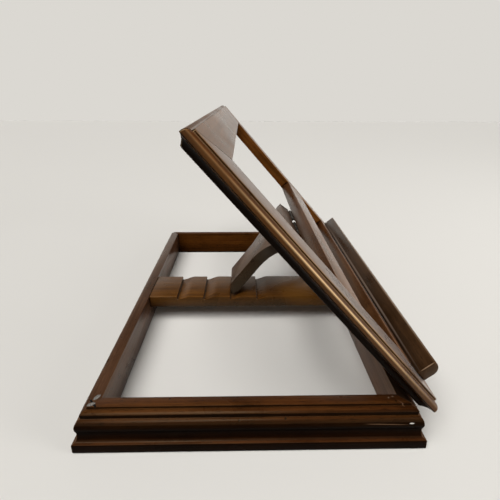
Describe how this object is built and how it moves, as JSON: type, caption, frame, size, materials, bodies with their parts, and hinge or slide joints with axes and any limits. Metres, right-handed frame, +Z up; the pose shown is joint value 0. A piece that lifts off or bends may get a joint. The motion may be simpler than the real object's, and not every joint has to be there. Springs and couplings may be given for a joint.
{
  "type": "adjustable book stand",
  "caption": "Tabletop wooden reading stand: an open moulded desk hinged to a moulded base frame and held at a slope by a hinged prop on a notched bar, folding flat.",
  "frame": {"origin": "on the table, under the middle of the whole stand's outline", "axes": "+Z up; X along the hinges and the book ledge; the reader sits at -Y, so the desk rises towards +Y"},
  "size_m": [0.485, 0.362, 0.3137],
  "materials": {
    "base_mahogany": "worn french polish, satin",
    "desk_mahogany": "french polish, satin to glossy",
    "prop_mahogany": "plain waxed, dull",
    "desk_hinge_brass": "aged, dark",
    "prop_hinge_iron": "dark, oiled",
    "screw_steel": "aged",
    "fastener_steel": "dull"
  },
  "bodies": {
    "base": {"base_front_rail": "base_mahogany", "base_left_rail": "base_mahogany", "base_rear_rail": "base_mahogany", "base_right_rail": "base_mahogany", "left_hinge_base_leaf": "desk_hinge_brass", "left_hinge_base_screw_1": "screw_steel", "left_hinge_base_screw_2": "screw_steel", "left_hinge_base_screw_3": "screw_steel", "left_hinge_pin": "desk_hinge_brass", "mitre_fastener": "fastener_steel", "ratchet_bar": "base_mahogany", "right_hinge_base_leaf": "desk_hinge_brass", "right_hinge_base_screw_1": "screw_steel", "right_hinge_base_screw_2": "screw_steel", "right_hinge_base_screw_3": "screw_steel", "right_hinge_pin": "desk_hinge_brass"},
    "desk": {"book_ledge": "desk_mahogany", "desk_bottom_rail": "desk_mahogany", "desk_left_stile": "desk_mahogany", "desk_mid_rail": "desk_mahogany", "desk_right_stile": "desk_mahogany", "desk_top_rail": "desk_mahogany", "ledge_screw_1": "screw_steel", "ledge_screw_2": "screw_steel", "ledge_screw_3": "screw_steel", "left_hinge_desk_leaf": "desk_hinge_brass", "left_hinge_desk_screw_1": "screw_steel", "left_hinge_desk_screw_2": "screw_steel", "left_hinge_desk_screw_3": "screw_steel", "left_prop_hinge_pin": "prop_hinge_iron", "left_prop_hinge_rail_leaf": "prop_hinge_iron", "left_prop_hinge_rail_screw_1": "screw_steel", "left_prop_hinge_rail_screw_2": "screw_steel", "left_prop_hinge_rail_screw_3": "screw_steel", "right_hinge_desk_leaf": "desk_hinge_brass", "right_hinge_desk_screw_1": "screw_steel", "right_hinge_desk_screw_2": "screw_steel", "right_hinge_desk_screw_3": "screw_steel", "right_prop_hinge_pin": "prop_hinge_iron", "right_prop_hinge_rail_leaf": "prop_hinge_iron", "right_prop_hinge_rail_screw_1": "screw_steel", "right_prop_hinge_rail_screw_2": "screw_steel", "right_prop_hinge_rail_screw_3": "screw_steel"},
    "prop": {"left_prop_hinge_prop_leaf": "prop_hinge_iron", "left_prop_hinge_prop_screw_1": "screw_steel", "left_prop_hinge_prop_screw_2": "screw_steel", "left_prop_hinge_prop_screw_3": "screw_steel", "prop_board": "prop_mahogany", "right_prop_hinge_prop_leaf": "prop_hinge_iron", "right_prop_hinge_prop_screw_1": "screw_steel", "right_prop_hinge_prop_screw_2": "screw_steel", "right_prop_hinge_prop_screw_3": "screw_steel"}
  },
  "joints": [
    {"name": "desk_tilt", "type": "hinge", "parent": "base", "child": "desk", "pos_m": [0, -0.15933, 0.0449], "axis": [1, 0, 0], "range_deg": [-49.1, 9.7]},
    {"name": "prop_fold", "type": "hinge", "parent": "desk", "child": "prop", "pos_m": [0, -0.06291, 0.15347], "axis": [1, 0, 0], "range_deg": [-20.1, 101.55]}
  ],
  "couplings": [
    {"joint": "prop_fold", "follows": "desk_tilt", "ratio": -2.0672}
  ]
}
